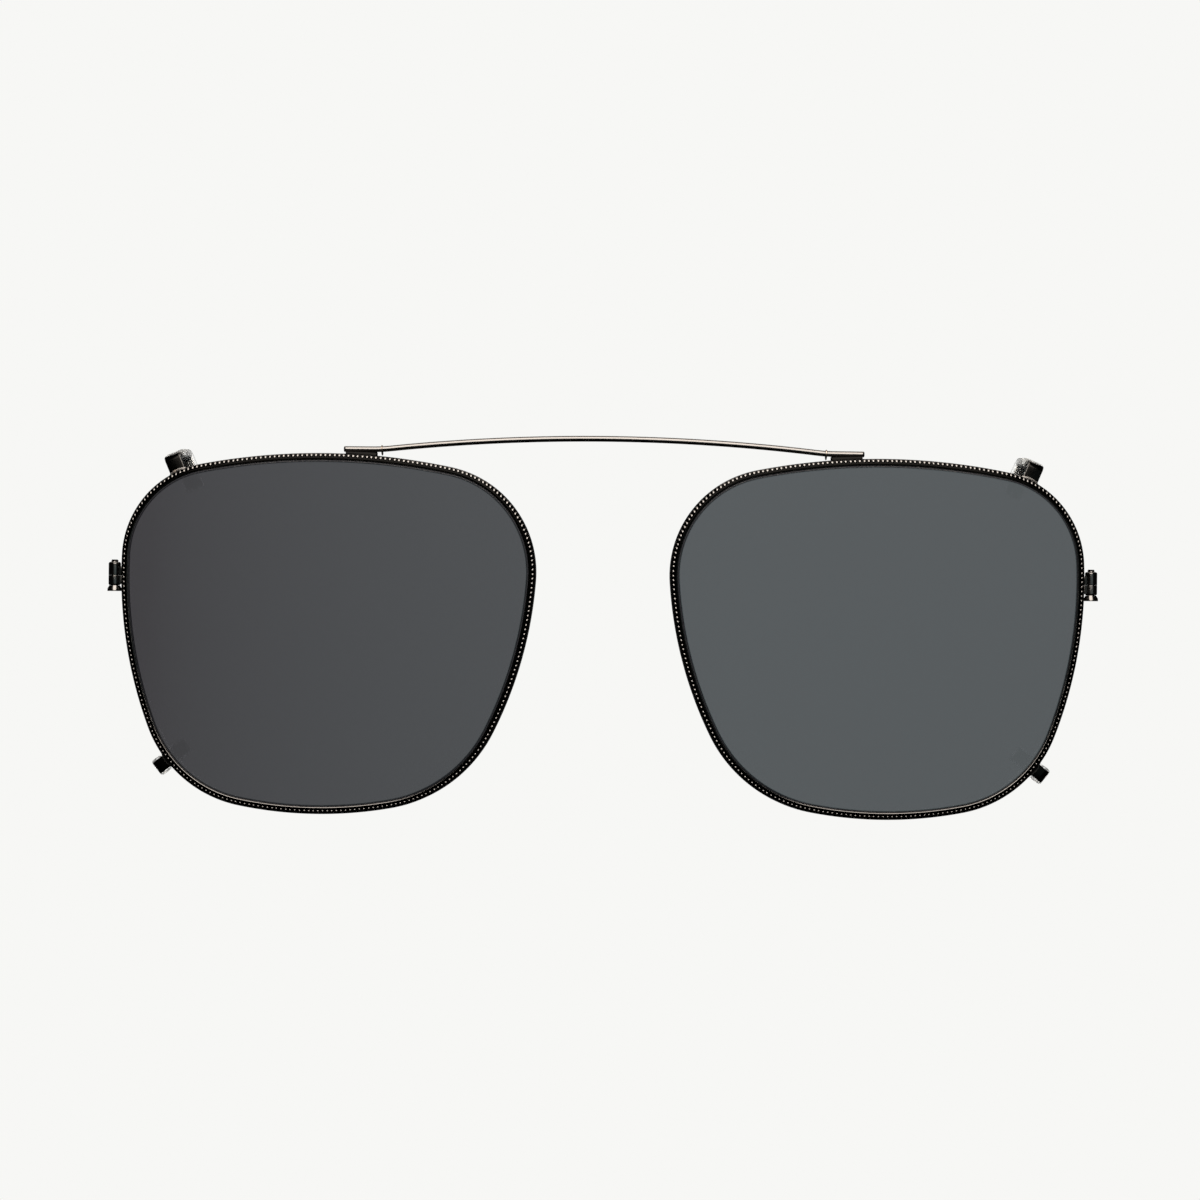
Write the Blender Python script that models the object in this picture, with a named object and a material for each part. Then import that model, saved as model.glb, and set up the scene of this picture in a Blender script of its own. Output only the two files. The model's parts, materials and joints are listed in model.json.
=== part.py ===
"""Clip-on sun lenses: two grooved wire rims on a spring-wire bridge, held by four sleeved prongs.

Metres, +Z up. The front faces -Y and +X is to the right when it is seen from the front.
The origin is midway between the two rims' centres, in the middle of the rims' depth.
"""

import math

import bmesh
import bpy
import numpy as np
from mathutils import Matrix

MM = 0.001

# One eye, measured over the rim's outer edge, and the distance between the two eyes' centres.
EYE_WIDTH = 52.0 * MM
EYE_HEIGHT = 45.0 * MM
CENTRE_SPACING = 68.4 * MM
WRAP_ANGLE = math.radians(4.0)
# The outline is four long side arcs joined by four corner arcs. A heading is the direction in
# which the outline runs, in degrees clockwise from "outwards along the top".
# Corners: upper outer, lower outer, lower nasal, upper nasal.
CORNER_RADII = (12.1 * MM, 15.4 * MM, 17.6 * MM, 13.4 * MM)
CORNER_HEADINGS = ((11.0, 87.5), (111.0, 169.0), (190.5, 243.5), (266.0, 348.5))
SIDE_STEP = 3.3
CORNER_STEP = 6.0

# Rim section.
RIM_WIDTH = 0.92 * MM
RIM_DEPTH = 1.8 * MM
RIM_CHAMFER = 0.14 * MM
GROOVE_DEPTH = 0.35 * MM
RIM_SPLIT_GAP = 0.05 * MM

# Lens: a plate with a ridge round its edge that sits in the rim's groove.
LENS_THICKNESS = 1.9 * MM
LENS_FACET = 0.38 * MM
LENS_CLEARANCE = 0.03 * MM

# What is brazed on is kept this far from what it is brazed to.
BRAZE_GAP = 0.015 * MM

# Closing block: a barrel beside the rim, split where the rim is split, with a screw up its middle.
BLOCK_HEIGHT = 7.0 * MM
BARREL_RADIUS = 0.76 * MM
BARREL_TO_RIM = 0.11 * MM
UPPER_BARREL_LENGTH = 1.65 * MM
LOWER_BARREL_LENGTH = 1.25 * MM
BARREL_CHAMFER = 0.14 * MM
WEB_HEIGHT = 1.1 * MM
WEB_THICKNESS = 1.0 * MM
SCREW_RADIUS = 0.46 * MM
SCREW_CLEARANCE = 0.02 * MM
SCREW_TIP = 0.3 * MM
HEAD_RADIUS = 0.89 * MM
HEAD_NECK_RADIUS = 0.66 * MM
HEAD_CONE = 0.4 * MM
HEAD_RIM = 0.3 * MM
SLOT_WIDTH = 0.24 * MM
SLOT_DEPTH = 0.28 * MM

# Bridge: one round spring wire whose flat feet lie on the rims' tops.
WIRE_RADIUS = 0.36 * MM
WIRE_END = 1.85 * MM
WIRE_ROOT = 6.65 * MM
WIRE_BEND = 2.2 * MM
WIRE_LIFT = 0.12 * MM
BRIDGE_RISE = 1.55 * MM
BRIDGE_STEPS = 36
FLEX_POINT = 13.0 * MM
FILLET_WIDTH = 0.7 * MM
FILLET_END = 6.05 * MM
COLLAR_WALL = 0.12 * MM
COLLAR_WIDTH = 0.24 * MM

# Prongs: a flat strip that leaves the rim's back outwards, runs back and hooks in again.
# The throat is the room for the spectacles' own rim, from the foot's back to the sleeve.
# The base is a heading on the rim, and the lean is the heading in which the strip leaves it.
UPPER_PRONG_BASE = 26.2
UPPER_PRONG_LEAN = 23.0
UPPER_PRONG_REACH = 2.4 * MM
UPPER_PRONG_WIDTH = 2.0 * MM
UPPER_PRONG_SWEEP = math.radians(5.0)
LOWER_PRONG_BASE = 128.4
LOWER_PRONG_LEAN = 128.4
LOWER_PRONG_REACH = 1.9 * MM
LOWER_PRONG_WIDTH = 1.65 * MM
LOWER_PRONG_SWEEP = math.radians(-4.0)
PRONG_THICKNESS = 0.5 * MM
PRONG_CHAMFER = 0.08 * MM
PRONG_FOOT = 0.8 * MM
PRONG_HOOK = 2.2 * MM
PRONG_BEND = 0.6 * MM
PRONG_THROAT = 4.5 * MM
PRONG_FILLET = 0.42 * MM
PRONG_FILLET_WIDTH = 2.4 * MM

# Clear sleeve on each hook.
SLEEVE_WALL = 0.28 * MM
SLEEVE_CLEARANCE = 0.02 * MM
SLEEVE_COVER = 2.1 * MM
SLEEVE_CORNER = 0.3 * MM

COLOURS = {
    "antique_black": ((0.11, 0.104, 0.098), 0.25, 1.0),
    "rose_bronze": ((0.62, 0.47, 0.37), 0.22, 1.0),
    "smoke_lens": ((0.07, 0.075, 0.08), 0.08, 0.0),
    "clear_silicone": ((0.85, 0.85, 0.84), 0.3, 0.0),
}


def run_of_arcs(arcs, start, end):
    """Each arc's share of the way (outwards, up) for a radius of one, from heading start to end."""
    share = np.zeros((len(arcs), 2))
    for i, (first, last) in enumerate(arcs):
        for turn in (-360, 0, 360):
            a = max(first + turn, start)
            b = min(last + turn, end)
            if b > a:
                a, b = math.radians(a), math.radians(b)
                share[i] += (math.sin(b) - math.sin(a), math.cos(b) - math.cos(a))
    return share


def arc_headings():
    """The eight arcs as (first heading, last heading), a side and its corner by turns."""
    arcs = []
    before = CORNER_HEADINGS[-1][1] - 360
    for first, last in CORNER_HEADINGS:
        arcs += [(before, first), (first, last)]
        before = last
    return arcs


ARCS = arc_headings()


def arc_radii():
    """The corners' radii with the sides' radii that close the outline at its width and height."""
    whole = run_of_arcs(ARCS, 0, 360)
    across = run_of_arcs(ARCS, -90, 90)[:, 0]
    down = run_of_arcs(ARCS, 0, 180)[:, 1]
    rows = np.array([whole[:, 0], whole[:, 1], across, down])
    wanted = np.array([0, 0, EYE_WIDTH, -EYE_HEIGHT]) - rows[:, 1::2] @ np.array(CORNER_RADII)
    radii = np.empty(len(ARCS))
    radii[0::2] = np.linalg.solve(rows[:, 0::2], wanted)
    radii[1::2] = CORNER_RADII
    return radii


RADII = arc_radii()


def from_top(heading):
    return RADII @ run_of_arcs(ARCS, 0, heading)


BOX_CENTRE = np.array([from_top(90)[0] + from_top(270)[0], from_top(180)[1]]) / 2


def edge_point(heading, offset=0.0):
    """(outwards, up) of the rim's outer edge at a heading, moved outwards by offset."""
    angle = math.radians(heading)
    heading = heading % 360
    outwards = np.array([math.sin(angle), math.cos(angle)])
    return from_top(heading) - BOX_CENTRE + offset * outwards


def heading_where(value, axis, low, high):
    """The heading between low and high at which the outer edge's coordinate has this value."""
    rising = edge_point(high)[axis] > edge_point(low)[axis]
    for _ in range(50):
        middle = (low + high) / 2
        if (edge_point(middle)[axis] < value) == rising:
            low = middle
        else:
            high = middle
    return (low + high) / 2


def outline_headings():
    """Headings all round, close enough together for each arc's curve."""
    found = []
    for i, (first, last) in enumerate(ARCS):
        step = CORNER_STEP if i % 2 else SIDE_STEP
        count = math.ceil((last - first) / step)
        found += list(np.linspace(first, last, count + 1)[:-1])
    return found


def material(name):
    colour, roughness, metallic = COLOURS[name]
    made = bpy.data.materials.new(name)
    made.use_nodes = True
    shader = made.node_tree.nodes["Principled BSDF"]
    shader.inputs["Base Color"].default_value = (*colour, 1)
    shader.inputs["Roughness"].default_value = roughness
    shader.inputs["Metallic"].default_value = metallic
    return made


def empty(name, parent, matrix):
    made = bpy.data.objects.new(name, None)
    made.empty_display_size = 3 * MM
    made.parent = parent
    made.matrix_basis = matrix
    bpy.context.scene.collection.objects.link(made)
    return made


def piece(name, shape, finish, parent=None, matrix=None):
    """An object from a bmesh, with its faces turned outwards and its round parts shaded smooth."""
    bmesh.ops.recalc_face_normals(shape, faces=shape.faces)
    mesh = bpy.data.meshes.new(name)
    shape.to_mesh(mesh)
    shape.free()
    mesh.shade_smooth()
    mesh.set_sharp_from_angle(angle=math.radians(30))
    made = bpy.data.objects.new(name, mesh)
    if finish:
        mesh.materials.append(finish)
    made.parent = parent
    if matrix:
        made.matrix_basis = matrix
    bpy.context.scene.collection.objects.link(made)
    return made


def lofted(rings, closed=False):
    """A bmesh through equal rings of points, closed on itself or with a flat face at each end."""
    rings = np.asarray(rings)
    shape = bmesh.new()
    grid = [[shape.verts.new(point) for point in ring] for ring in rings]
    count = len(grid[0])
    pairs = list(zip(grid[:-1], grid[1:]))
    if closed:
        pairs.append((grid[-1], grid[0]))
    for here, there in pairs:
        for i in range(count):
            j = (i + 1) % count
            shape.faces.new((here[i], here[j], there[j], there[i]))
    if not closed:
        shape.faces.new(grid[0])
        shape.faces.new(grid[-1])
    return shape


def turned(profile, sides=24):
    """A bmesh turned about Z from (radius, height) points that start and end on the axis."""
    angles = np.linspace(0, 2 * math.pi, sides, endpoint=False)
    rings = [
        [(r * math.cos(a), r * math.sin(a), z) for a in angles] for r, z in profile[1:-1]
    ]
    return lofted(rings)


def around(section, headings, side):
    """Rings of a section of (outward offset, depth) points at each heading of the rim."""
    rings = []
    for heading in headings:
        ring = []
        for offset, depth in section:
            outwards, up = edge_point(heading, offset)
            ring.append((side * outwards, depth, up))
        rings.append(ring)
    return rings


def rim(side):
    """The eyewire: an open ring with a V groove inside, split beside its closing block."""
    split = heading_where(BLOCK_HEIGHT, 1, 60, 120)
    half_gap = math.degrees(RIM_SPLIT_GAP / 2 / RADII[2])
    after = [h for h in outline_headings() if h > split + half_gap]
    before = [h + 360 for h in outline_headings() if h < split - half_gap]
    headings = [split + half_gap, *after, *before, split + 360 - half_gap]
    half = RIM_DEPTH / 2
    inner = -RIM_WIDTH
    section = [
        (0, half),
        (0, RIM_CHAMFER - half),
        (-RIM_CHAMFER, -half),
        (inner + RIM_CHAMFER, -half),
        (inner, RIM_CHAMFER - half),
        (inner, -GROOVE_DEPTH),
        (inner + GROOVE_DEPTH, 0),
        (inner, GROOVE_DEPTH),
        (inner, half),
    ]
    return lofted(around(section, headings, side))


def lens(side):
    """A flat plate with a facet round its front and a ridge round its edge."""
    half = LENS_THICKNESS / 2
    edge = -RIM_WIDTH - LENS_CLEARANCE
    section = [
        (edge - LENS_FACET, -half),
        (edge, LENS_FACET - half),
        (edge, -GROOVE_DEPTH),
        (edge + GROOVE_DEPTH, 0),
        (edge, GROOVE_DEPTH),
        (edge, half),
    ]
    rings = around(section, outline_headings(), side)
    return lofted(np.swapaxes(np.array(rings), 0, 1))


def barrel_axis():
    """(outwards, up) of the closing block's axis at the split."""
    return EYE_WIDTH / 2 + BARREL_TO_RIM + BARREL_RADIUS, BLOCK_HEIGHT


def cutter(name, shape, parent, matrix=None):
    made = piece(name, shape, None, parent, matrix)
    made.hide_render = True
    made.display_type = "WIRE"
    return made


def box(size, centre):
    shape = bmesh.new()
    bmesh.ops.create_cube(shape, size=1)
    bmesh.ops.scale(shape, vec=size, verts=shape.verts)
    bmesh.ops.translate(shape, vec=centre, verts=shape.verts)
    return shape


def web_shape(outwards, side, up, low):
    """A block from the barrel's wall to the rim's edge, which it meets at both of its ends."""
    near = SCREW_RADIUS + SCREW_CLEARANCE
    rings = []
    for height in (low, low + WEB_HEIGHT):
        heading = heading_where(BLOCK_HEIGHT + up * height, 1, 60, 120)
        reach = outwards - edge_point(heading)[0] - BRAZE_GAP
        corners = [(near, -1), (reach, -1), (reach, 1), (near, 1)]
        rings.append(
            [(-side * x, y * WEB_THICKNESS / 2, up * height) for x, y in corners]
        )
    return lofted(rings)


def boolean(target, operation, other):
    modifier = target.modifiers.new(operation.lower(), "BOOLEAN")
    modifier.operation = operation
    modifier.object = other
    modifier.solver = "EXACT"


def barrel_half(name, side, length, up, finish, parent):
    """Half of the closing barrel with its web to the rim. up is +1 above the split, -1 below."""
    outwards, height = barrel_axis()
    frame = Matrix.Translation((side * outwards, 0, height))
    low = RIM_SPLIT_GAP / 2
    high = low + length
    rounded = BARREL_RADIUS - BARREL_CHAMFER
    profile = [
        (0, up * low),
        (BARREL_RADIUS, up * low),
        (BARREL_RADIUS, up * (high - BARREL_CHAMFER)),
        (rounded, up * high),
        (0, up * high),
    ]
    half = piece(name, turned(profile), finish, parent, frame)
    web = web_shape(outwards, side, up, low)
    bore = SCREW_RADIUS + SCREW_CLEARANCE
    hole = turned([(0, -high * 2), (bore, -high * 2), (bore, high * 2), (0, high * 2)])
    boolean(half, "UNION", cutter(name + "_web", web, parent, frame))
    boolean(half, "DIFFERENCE", cutter(name + "_bore", hole, parent, frame))
    return half


def rim_screw(name, side, finish, parent):
    """The screw that closes the rim, put in from below, with its origin on its own axis."""
    outwards, height = barrel_axis()
    frame = Matrix.Translation((side * outwards, 0, height))
    seat = -RIM_SPLIT_GAP / 2 - LOWER_BARREL_LENGTH - SCREW_CLEARANCE
    bottom = seat - HEAD_CONE - HEAD_RIM
    top = RIM_SPLIT_GAP / 2 + UPPER_BARREL_LENGTH + SCREW_TIP
    tip_chamfer = SCREW_TIP / 3
    profile = [
        (0, bottom),
        (HEAD_RADIUS, bottom),
        (HEAD_RADIUS, bottom + HEAD_RIM),
        (HEAD_NECK_RADIUS, seat),
        (SCREW_RADIUS, seat),
        (SCREW_RADIUS, top - tip_chamfer),
        (SCREW_RADIUS - tip_chamfer, top),
        (0, top),
    ]
    screw = piece(name, turned(profile), finish, parent, frame)
    slot = box((HEAD_RADIUS * 3, SLOT_WIDTH, SLOT_DEPTH * 2), (0, 0, bottom))
    boolean(screw, "DIFFERENCE", cutter(name + "_slot", slot, parent, frame))
    return screw


def hook_path(reach, start, tip, bend_steps=5):
    """(depth, outwards) points and directions of a prong's middle line.

    start is "foot" for the whole strip, or the depth on the back run where the path begins.
    tip is the outward coordinate where it ends.
    """
    foot_depth = prong_foot_depth()
    run_height = reach - PRONG_THICKNESS / 2
    sleeve_skin = SLEEVE_WALL + SLEEVE_CLEARANCE
    finger_depth = foot_depth + PRONG_THICKNESS + PRONG_THROAT + sleeve_skin
    path = []
    if start == "foot":
        path.append((foot_depth, -PRONG_FOOT, math.pi / 2))
        for i in range(bend_steps + 1):
            a = math.pi / 2 * i / bend_steps
            depth = foot_depth + PRONG_BEND * (1 - math.cos(a))
            height = run_height - PRONG_BEND * (1 - math.sin(a))
            path.append((depth, height, math.pi / 2 - a))
    else:
        path.append((start, run_height, 0.0))
    for i in range(bend_steps + 1):
        a = math.pi / 2 * i / bend_steps
        depth = finger_depth - PRONG_BEND * (1 - math.sin(a))
        height = run_height - PRONG_BEND * (1 - math.cos(a))
        path.append((depth, height, -a))
    path.append((finger_depth, tip, -math.pi / 2))
    return path


def prong_foot_depth():
    return RIM_DEPTH / 2 + BRAZE_GAP + PRONG_THICKNESS / 2


def strip_rings(path, width, thickness, chamfer, sweep):
    """Rings of a flat bar with chamfered corners, carried along a hook path.

    sweep is how far the bar moves sideways for each metre that it runs back.
    """
    w, t = width / 2, thickness / 2
    corners = [
        (w, t - chamfer),
        (w - chamfer, t),
        (chamfer - w, t),
        (-w, t - chamfer),
        (-w, chamfer - t),
        (chamfer - w, -t),
        (w - chamfer, -t),
        (w, chamfer - t),
    ]
    rings = []
    for depth, height, angle in path:
        out_depth, out_height = -math.sin(angle), math.cos(angle)
        shift = sweep * (depth - prong_foot_depth())
        rings.append(
            [(x + shift, depth + n * out_depth, height + n * out_height) for x, n in corners]
        )
    return rings


def prong(reach, width, sweep):
    path = hook_path(reach, "foot", -PRONG_HOOK)
    return lofted(strip_rings(path, width, PRONG_THICKNESS, PRONG_CHAMFER, sweep))


def sleeve(reach, width, sweep):
    """A tube over the hook, open at its mouth on the back run and closed past the hook's tip."""
    mouth = RIM_DEPTH / 2 + SLEEVE_COVER
    room = 2 * SLEEVE_CLEARANCE
    skin = room + 2 * SLEEVE_WALL
    inside = hook_path(reach, mouth, -PRONG_HOOK - SLEEVE_CLEARANCE)
    outside = hook_path(reach, mouth, -PRONG_HOOK - SLEEVE_CLEARANCE - SLEEVE_WALL)
    cavity = strip_rings(inside, width + room, PRONG_THICKNESS + room, PRONG_CHAMFER, sweep)
    body = strip_rings(outside, width + skin, PRONG_THICKNESS + skin, SLEEVE_CORNER, sweep)
    return lofted(cavity[::-1] + body)


def prong_fillet(side, base, radius):
    """The braze along the rim's outer edge in front of a prong, thickest in its middle."""
    back = RIM_DEPTH / 2
    half_turn = math.degrees(PRONG_FILLET_WIDTH / 2 / radius)
    rings = []
    for share in np.linspace(-1, 1, 9):
        thick = PRONG_FILLET * (1 - 0.6 * share**2)
        section = [
            (BRAZE_GAP, back),
            (BRAZE_GAP + thick, back),
            (BRAZE_GAP + thick / 3, back - thick / 3),
            (BRAZE_GAP, back - thick),
        ]
        rings += around(section, [base + share * half_turn], side)
    return lofted(rings)


def prong_frame(side, base, lean):
    outwards, up = edge_point(base)
    turn = Matrix.Rotation(side * math.radians(lean), 4, "Y")
    return Matrix.Translation((side * outwards, 0, up)) @ turn


def add_prong(name, side, shape, finish, eye):
    """A prong with its sleeve and its braze. shape is its base, lean, reach, width and sweep."""
    base, lean, reach, width, turn = shape
    frame = prong_frame(side, base, lean)
    to_nose = -side if lean < 90 else side
    sweep = to_nose * math.tan(turn)
    radius = CORNER_RADII[0] if lean < 90 else CORNER_RADII[1]
    strip, tube = prong(reach, width, sweep), sleeve(reach, width, sweep)
    piece(name + "_prong", strip, finish["antique_black"], eye, frame)
    piece(name + "_sleeve", tube, finish["clear_silicone"], eye, frame)
    braze = prong_fillet(side, base, radius)
    piece(name + "_prong_braze", braze, finish["rose_bronze"], eye)


def wire_foot_height():
    return EYE_HEIGHT / 2 + WIRE_LIFT + WIRE_RADIUS


def bridge_path():
    """Points of the right half of the wire's middle line, from the centre to its cut end.

    The slope grows evenly from the centre to the root and fades out into the flat foot. Seen from
    above, the wire turns evenly from square-on at the centre to the rim's own plane at the root.
    """
    cos, sin = math.cos(WRAP_ANGLE), math.sin(WRAP_ANGLE)
    end = CENTRE_SPACING / 2 - WIRE_END * cos
    root = CENTRE_SPACING / 2 - WIRE_ROOT * cos
    fade = WIRE_BEND / 2
    x = np.concatenate(
        [
            np.linspace(0, root - fade, BRIDGE_STEPS * 3 // 5, endpoint=False),
            np.linspace(root - fade, root + fade, BRIDGE_STEPS // 5, endpoint=False),
            np.linspace(root + fade, end, 3),
        ]
    )
    slope = np.where(x < root - fade, x / root, np.clip((root + fade - x) / WIRE_BEND, 0, 1))
    turn = math.tan(WRAP_ANGLE) * np.minimum(x / root, 1)
    steps = np.diff(x)
    drop = np.concatenate([[0], np.cumsum((slope[1:] + slope[:-1]) / 2 * steps)])
    back = np.concatenate([[0], np.cumsum((turn[1:] + turn[:-1]) / 2 * steps)])
    z = wire_foot_height() + BRIDGE_RISE * (1 - drop / drop[-1])
    y = back - back[-1] - WIRE_END * sin
    return np.column_stack([x, y, z])


def on_bridge(x):
    """The wire's middle line at a distance from the centre, and its direction there."""
    path = bridge_path()
    point = np.array([np.interp(x, path[:, 0], path[:, i]) for i in range(3)])
    near = np.searchsorted(path[:, 0], x)
    direction = path[near] - path[near - 1]
    return point, direction / np.linalg.norm(direction)


def tube_rings(points, radius, sides=10):
    """Circles square to a path that runs mostly sideways."""
    directions = np.gradient(points, axis=0)
    directions /= np.linalg.norm(directions, axis=1)[:, None]
    over = np.array([0, 0, 1]) - directions * directions[:, 2:]
    over /= np.linalg.norm(over, axis=1)[:, None]
    across = np.cross(directions, over)
    angles = (np.arange(sides) + 0.5) * 2 * math.pi / sides
    cos, sin = np.cos(angles)[None, :, None], np.sin(angles)[None, :, None]
    return points[:, None] + radius * (cos * across[:, None] + sin * over[:, None])


def bridge_wire():
    half = bridge_path()
    mirrored = half[:0:-1] * np.array([-1, 1, 1])
    return lofted(tube_rings(np.concatenate([mirrored, half]), WIRE_RADIUS))


def collar():
    """A thin ring whose axis is its own X axis."""
    bore = WIRE_RADIUS + BRAZE_GAP
    outer = bore + COLLAR_WALL
    half = COLLAR_WIDTH / 2
    rings = []
    for a in np.linspace(0, 2 * math.pi, 20, endpoint=False):
        section = ((half, bore), (half, outer), (-half, outer), (-half, bore))
        rings.append([(x, r * math.cos(a), r * math.sin(a)) for x, r in section])
    return lofted(rings, closed=True)


def bridge_fillet(side):
    """The braze under a foot of the bridge, a wedge that opens towards the nose."""
    top = EYE_HEIGHT / 2 + WIRE_LIFT - BRAZE_GAP
    half = FILLET_WIDTH / 2
    rings = []
    for inwards in np.linspace(WIRE_END + WIRE_RADIUS, FILLET_END, 7):
        heading = heading_where(-inwards, 0, 330, 359.9)
        floor = edge_point(heading, BRAZE_GAP)[1]
        x = -side * inwards
        rings.append([(x, -half, floor), (x, half, floor), (x, half / 2, top), (x, -half / 2, top)])
    return lofted(rings)


def front(side, finish):
    """One eye: its rim, lens, closing block, screw, prongs and braze, on the bridge's flex point."""
    word = "right" if side > 0 else "left"
    flex, _ = on_bridge(FLEX_POINT)
    flex[0] *= side
    pivot = empty(word + "_flex", None, Matrix.Translation(flex))
    centre = Matrix.Translation((side * CENTRE_SPACING / 2, 0, 0))
    to_eye = Matrix.Translation(-flex) @ centre @ Matrix.Rotation(side * WRAP_ANGLE, 4, "Z")
    eye = empty(word + "_eye", pivot, to_eye)
    black = finish["antique_black"]
    piece(word + "_rim", rim(side), black, eye)
    piece(word + "_lens", lens(side), finish["smoke_lens"], eye)
    barrel_half(word + "_upper_barrel", side, UPPER_BARREL_LENGTH, 1, black, eye)
    barrel_half(word + "_lower_barrel", side, LOWER_BARREL_LENGTH, -1, black, eye)
    rim_screw(word + "_rim_screw", side, black, eye)
    piece(word + "_bridge_braze", bridge_fillet(side), black, eye)
    point, direction = on_bridge(CENTRE_SPACING / 2 - WIRE_ROOT * math.cos(WRAP_ANGLE))
    point[0] *= side
    yaw = Matrix.Rotation(side * math.atan2(direction[1], direction[0]), 4, "Z")
    pitch = Matrix.Rotation(-side * math.asin(direction[2]), 4, "Y")
    at_root = Matrix.Translation(point - flex) @ yaw @ pitch
    piece(word + "_bridge_collar", collar(), black, pivot, at_root)
    upper = (
        UPPER_PRONG_BASE,
        UPPER_PRONG_LEAN,
        UPPER_PRONG_REACH,
        UPPER_PRONG_WIDTH,
        UPPER_PRONG_SWEEP,
    )
    lower = (
        LOWER_PRONG_BASE,
        LOWER_PRONG_LEAN,
        LOWER_PRONG_REACH,
        LOWER_PRONG_WIDTH,
        LOWER_PRONG_SWEEP,
    )
    add_prong(word + "_upper", side, upper, finish, eye)
    add_prong(word + "_lower", side, lower, finish, eye)


def main():
    for old in list(bpy.data.objects):
        bpy.data.objects.remove(old, do_unlink=True)
    finish = {name: material(name) for name in COLOURS}
    piece("bridge_wire", bridge_wire(), finish["antique_black"])
    for side in (-1, 1):
        front(side, finish)


main()
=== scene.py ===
"""Looks of clip-on sun lenses: beaded rims, smoked lenses, a wire bridge and four sleeved prongs.

Metres, +Z up, with the front facing -Y. Each eye is shaped in a plane of its own: u runs outwards
from the eye's centre, d runs back from the middle of the rim and v runs up. place() turns the eye
by the wrap and sets it beside the nose, on either side.
"""

import json
import math

import bmesh
import bpy
import numpy as np
from bpy.props import FloatProperty, FloatVectorProperty, PointerProperty
from bpy.types import Operator, Panel, PropertyGroup
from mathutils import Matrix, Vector


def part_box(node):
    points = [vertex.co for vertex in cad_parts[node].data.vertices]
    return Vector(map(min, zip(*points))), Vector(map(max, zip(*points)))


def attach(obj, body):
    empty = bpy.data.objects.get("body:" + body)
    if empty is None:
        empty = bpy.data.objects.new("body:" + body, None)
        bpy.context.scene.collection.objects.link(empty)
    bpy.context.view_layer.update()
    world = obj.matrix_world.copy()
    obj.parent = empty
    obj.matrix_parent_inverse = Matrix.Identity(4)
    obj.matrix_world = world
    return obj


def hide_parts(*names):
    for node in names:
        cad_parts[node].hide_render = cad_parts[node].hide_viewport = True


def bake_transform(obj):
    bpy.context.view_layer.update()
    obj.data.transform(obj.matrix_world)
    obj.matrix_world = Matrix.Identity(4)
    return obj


bl_info = {
    "name": "Clip-on Sun Lenses",
    "version": (1, 0, 0),
    "blender": (4, 5, 0),
    "location": "3D View > Sidebar > Clip-on",
    "description": "Builds the looks of clip-on sun lenses around their packed model",
    "category": "Add Mesh",
}

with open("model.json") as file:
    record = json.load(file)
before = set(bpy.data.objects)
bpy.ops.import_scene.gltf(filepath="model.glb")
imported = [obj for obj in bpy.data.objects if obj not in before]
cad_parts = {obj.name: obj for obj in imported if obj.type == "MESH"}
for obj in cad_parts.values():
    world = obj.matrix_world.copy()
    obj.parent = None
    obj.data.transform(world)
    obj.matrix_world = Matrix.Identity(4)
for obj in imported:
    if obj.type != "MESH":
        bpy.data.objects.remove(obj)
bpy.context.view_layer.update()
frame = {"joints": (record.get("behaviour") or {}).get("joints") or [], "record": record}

MM = 0.001
SIDES = {"left": -1, "right": 1}
JOINTS = {joint["name"]: joint for joint in frame["joints"]}
MOUNTS = {mount["name"]: mount for mount in frame["record"]["mounts"]}

# The eye's plane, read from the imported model.
EYE_CENTRE = sum(corner.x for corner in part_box("right_rim")) / 2
REAR_AXIS = MOUNTS["right_rim_rear_land"]["axis"]
WRAP = math.atan2(-REAR_AXIS[0], REAR_AXIS[1])

# The outline is four long side arcs joined by four corner arcs. A heading is the direction in
# which the outline runs, in degrees clockwise from "outwards along the top".
# Corners: upper outer, lower outer, lower nasal, upper nasal.
CORNER_HEADINGS = ((11.0, 87.5), (111.0, 169.0), (190.5, 243.5), (266.0, 348.5))

BLACK = (0, 0, 0, 1)
RIM_STEPS = 420
LENS_STEPS = 300
SMALLEST_GAP = 1e-7


def length(name, description, millimetres):
    return FloatProperty(
        name=name, description=description, default=millimetres * MM, unit="LENGTH"
    )


def angle(name, description, degrees):
    return FloatProperty(
        name=name, description=description, default=math.radians(degrees), unit="ROTATION"
    )


def colour(name, description, value):
    return FloatVectorProperty(
        name=name, description=description, default=value, subtype="COLOR", min=0, max=1
    )


class RimSizes(PropertyGroup):
    """Sizes of a rim and of its row of beads."""

    eye_width: length("Eye width", "Over the beads, in the eye's own plane", 52.0)
    eye_height: length("Eye height", "Over the beads", 45.0)
    corner_radii: FloatVectorProperty(
        name="Corner radii",
        description="Upper outer, lower outer, lower nasal and upper nasal corner",
        default=(12.1 * MM, 15.4 * MM, 17.6 * MM, 13.4 * MM),
        size=4,
        unit="LENGTH",
    )
    width: length("Rim width", "From the outer edge to the lens opening", 0.92)
    depth: length("Rim depth", "From front to back", 1.8)
    groove: length("Groove depth", "V groove that holds the lens", 0.35)
    # Painted shade: how far the front between the beads is darkened towards black, so that it
    # mirrors no light.
    blackening: FloatProperty(
        name="Painted front shade", description="Of the front between the beads", default=0.98, min=0, max=1
    )
    split: length("Split", "Gap in the rim beside its closing block", 0.012)
    wall_inset: length("Wall inset", "How far the outer wall lies inside the beads' crowns", 0.05)
    strip_width: length("Bead strip", "Width of the sloping strip that carries the beads", 0.62)
    strip_tilt: angle("Strip tilt", "How far the bead strip is turned outwards", 32.0)
    set_back: length("Set back", "From the rim's front plane to the bead strip", 0.04)
    bead_pitch: length("Bead pitch", "Distance from bead to bead", 0.583)
    bead_width: length("Bead width", "Across the strip", 0.56)
    bead_length: length("Bead length", "Along the strip", 0.53)
    bead_rise: length("Bead rise", "Height above the strip", 0.13)
    bead_spread: FloatProperty(
        name="Bead spread", description="How uneven the beads are", default=0.03, min=0, max=0.3
    )


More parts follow.
